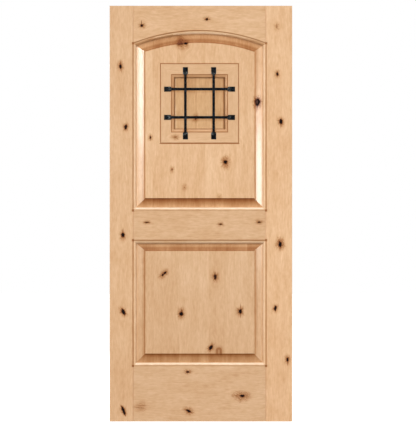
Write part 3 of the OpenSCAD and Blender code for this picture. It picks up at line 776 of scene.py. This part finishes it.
def iron(name, base=(1, 4, 7), worn=(10, 19, 26), rough=0.3, hammer=1.0, scale=1.0, bend_highlight=None):
    """Hammered iron, blackened, with the high spots rubbed a little brighter. The bends'
    highlight, if given, is a centre and how far out from it the iron is bent; there a highlight is
    painted brighter still."""
    material, place = new_finish(name)
    dents = place.node(
        "TexVoronoi", {"feature": "SMOOTH_F1"},
        {"Vector": place, "Scale": 130 * scale, "Smoothness": 0.6})
    grain = place.noise(4.0, 0.6, 700 * scale)
    cloud = place.noise(3.0, 0.5, 38 * scale)
    swell = place.noise(1.0, 0.4, 85 * scale)
    rub = (dents * 1.6 + (cloud - 0.5) * 0.9).ease(0.75, 1.25)
    colour = (rub * 0.45).mix(paint(*base), paint(*worn))
    colour = (grain.ease(0.55, 0.8) * 0.35).mix(colour, paint(10, 13, 17))
    bare = (swell * 0.8 + dents * 0.9 + (cloud - 0.5) * 0.8).ease(0.95, 1.2)
    bare_iron = paint(*(min(255, shade * 2.3) for shade in worn))
    colour = (bare * 0.6).mix(colour, bare_iron)
    if bend_highlight:
        centre, out = bend_highlight
        x, _, z = place.parts()
        away = x.off(centre.x).most(z.off(centre.z))
        # A highlight painted round each bend.
        painted_highlight = away.band(out, 13 * MM) * (0.1 + rub * 0.6)
        colour = painted_highlight.mix(colour, paint(104, 108, 106))
    height = (1 - dents) * hammer + (swell - 0.5) * (2.6 * hammer) + grain * 0.12
    bump = place.node("Bump", values={"Strength": 0.75, "Distance": 1.1 * MM, "Height": height})
    surface = place.node("BsdfPrincipled", values={
        "Base Color": colour, "Roughness": rough + (cloud - 0.5) * 0.22, "Normal": bump,
        "Metallic": 0.1, "Specular IOR Level": 0.12,
    })
    place.node("OutputMaterial", values={"Surface": surface})
    return material


BAR_ARRIS = 0.8 * MM
BEND_FROM_END = 28 * MM
grille_centre = (box("grille_bar_upper")[0] + box("grille_bar_lower")[1]) / 2
bar_half = (box("grille_bar_upper")[1].x - box("grille_bar_upper")[0].x) / 2
forged = iron("blackened_iron", bend_highlight=(grille_centre, bar_half - BEND_FROM_END))
for side in ("left", "right", "upper", "lower"):
    node = f"grille_bar_{side}"
    mesh = whole_copy(node)
    ease_edges(mesh, lambda edge: True, BAR_ARRIS, segments=3)
    bar = stand_in(f"{node}_forged", node, mesh, forged, "leaf", sharp=40)
    bar.visible_shadow = False  # the bars are set to throw no shadow; painted shade beside them on the frame and shutter stands in for it

# ==== Fittings on the back
# Iron butt hinges, a turned knob and a barrel bolt on the shutter, with their steel pins, rod
# and countersunk screws.

fitting_iron = iron("fitting_iron", rough=0.38, hammer=0.25, scale=1.6)
fitting_steel = iron(
    "fitting_steel", (46, 47, 50), (150, 150, 152), rough=0.32, hammer=0.1, scale=2.2)
IRON_FITTINGS = [
    "shutter_knob", "hinge_frame_leaf_upper", "hinge_frame_leaf_lower", "hinge_shutter_leaf_upper",
    "hinge_shutter_leaf_lower", "bolt_plate", "bolt_thumb_knob", "bolt_keeper", "grille_screws",
]
STEEL_FITTINGS = [
    "hinge_pin_upper", "hinge_pin_lower", "hinge_frame_screws", "hinge_shutter_screws",
    "bolt_rod", "bolt_plate_screws", "bolt_keeper_screws",
]
for names, metal in ((IRON_FITTINGS, fitting_iron), (STEEL_FITTINGS, fitting_steel)):
    for name in names:
        finish_node(name, metal)

# ==== Studio
# A pale seamless floor and a dim surround, under one wide light from above. Small lights at the
# left and right make the bevels shine, two fills and two lights behind soften the rest, and a
# long lens stands level with the middle of the leaf.

LEAF_Z = 997 * MM
CAMERA_X = 34.6 * MM
DISTANCE = 12.0
FACE_Y = 22 * MM  # the leaf's front stands this far in front of its middle
VIEW_HEIGHT = 2126.3 * MM  # how much of it the camera sees from top to bottom
SENSOR = 36
SURROUND = 0.12  # how brightly the surround lights the leaf; to the camera it is white


def soft_light(name, place, towards, width, height, watts):
    lamp = bpy.data.lights.new(name, "AREA")
    lamp.shape = "RECTANGLE"
    lamp.size = width
    lamp.size_y = height
    lamp.energy = watts
    light = bpy.data.objects.new(name, lamp)
    light.location = place
    light.rotation_euler = (Vector(towards) - Vector(place)).to_track_quat("-Z", "Y").to_euler()
    bpy.context.scene.collection.objects.link(light)


soft_light("left_high", (-1.8, -4.2, 1.95), (0, 0, 1.7), 0.7, 0.8, 38)
soft_light("left_middle", (-1.8, -4.2, 1.24), (0, 0, 1.2), 0.7, 0.62, 7)
soft_light("right_low", (1.78, -4.2, 1.29), (0, 0, 1.2), 0.72, 0.6, 36)
soft_light("left_fill", (-5, -3.6, 1.5), (0, 0, 1.0), 3, 3, 18)
soft_light("right_fill", (5, -3.6, 1.5), (0, 0, 1.0), 3, 3, 18)
soft_light("back_high", (1.5, 5, 2.6), (0, 0, 1.0), 3, 3, 260)
soft_light("back_low", (-4, 4, 1.2), (0, 0, 1.0), 3, 2, 60)

above = bpy.data.lights.new("overhead", "SUN")
above.angle = math.radians(42)
above.energy = 2.03
overhead = bpy.data.objects.new("overhead", above)
overhead.rotation_euler = (math.radians(41), 0, 0)
bpy.context.scene.collection.objects.link(overhead)

world = bpy.data.worlds.new("surround")
bpy.context.scene.world = world
world.use_nodes = True
backdrop = world.node_tree.nodes["Background"]
backdrop.inputs["Color"].default_value = (1, 1, 1, 1)
seen = Wire(world.node_tree).node("LightPath", output="Is Camera Ray")
level = seen * (1 - SURROUND) + SURROUND
world.node_tree.links.new(level.socket, backdrop.inputs["Strength"])

ground = bmesh.new()
bmesh.ops.create_grid(ground, x_segments=4, y_segments=4, size=20)
ground_data = bpy.data.meshes.new("floor")
ground.to_mesh(ground_data)
ground.free()
pale = bpy.data.materials.new("pale_floor")
pale.use_nodes = True
pale_sockets = pale.node_tree.nodes["Principled BSDF"].inputs
start = Wire(pale.node_tree)
cloudy = start.node("TexCoord", output="Object").noise(2.0, 0.5, 0.6)
tint = cloudy.mix(paint(164, 164, 163), paint(168, 168, 168))
glow = start.node("LightPath", output="Is Camera Ray").mix((0, 0, 0, 1), (1, 1, 1, 1))
pale.node_tree.links.new(tint.socket, pale_sockets["Base Color"])
pale.node_tree.links.new(glow.socket, pale_sockets["Emission Color"])
pale_sockets["Roughness"].default_value = 0.8
pale_sockets["Emission Strength"].default_value = 0.9
ground_data.materials.append(pale)
floor = bpy.data.objects.new("floor", ground_data)
bpy.context.scene.collection.objects.link(floor)

lens = bpy.data.cameras.new("camera")
lens.sensor_width = SENSOR
lens.lens = SENSOR * (DISTANCE - FACE_Y) / VIEW_HEIGHT
lens.clip_end = 100
camera = bpy.data.objects.new("camera", lens)
camera.location = (CAMERA_X, -DISTANCE, LEAF_Z)
camera.rotation_euler = (math.pi / 2, 0, 0)
bpy.context.scene.collection.objects.link(camera)
bpy.context.scene.camera = camera
bpy.context.scene.view_settings.view_transform = "Standard"
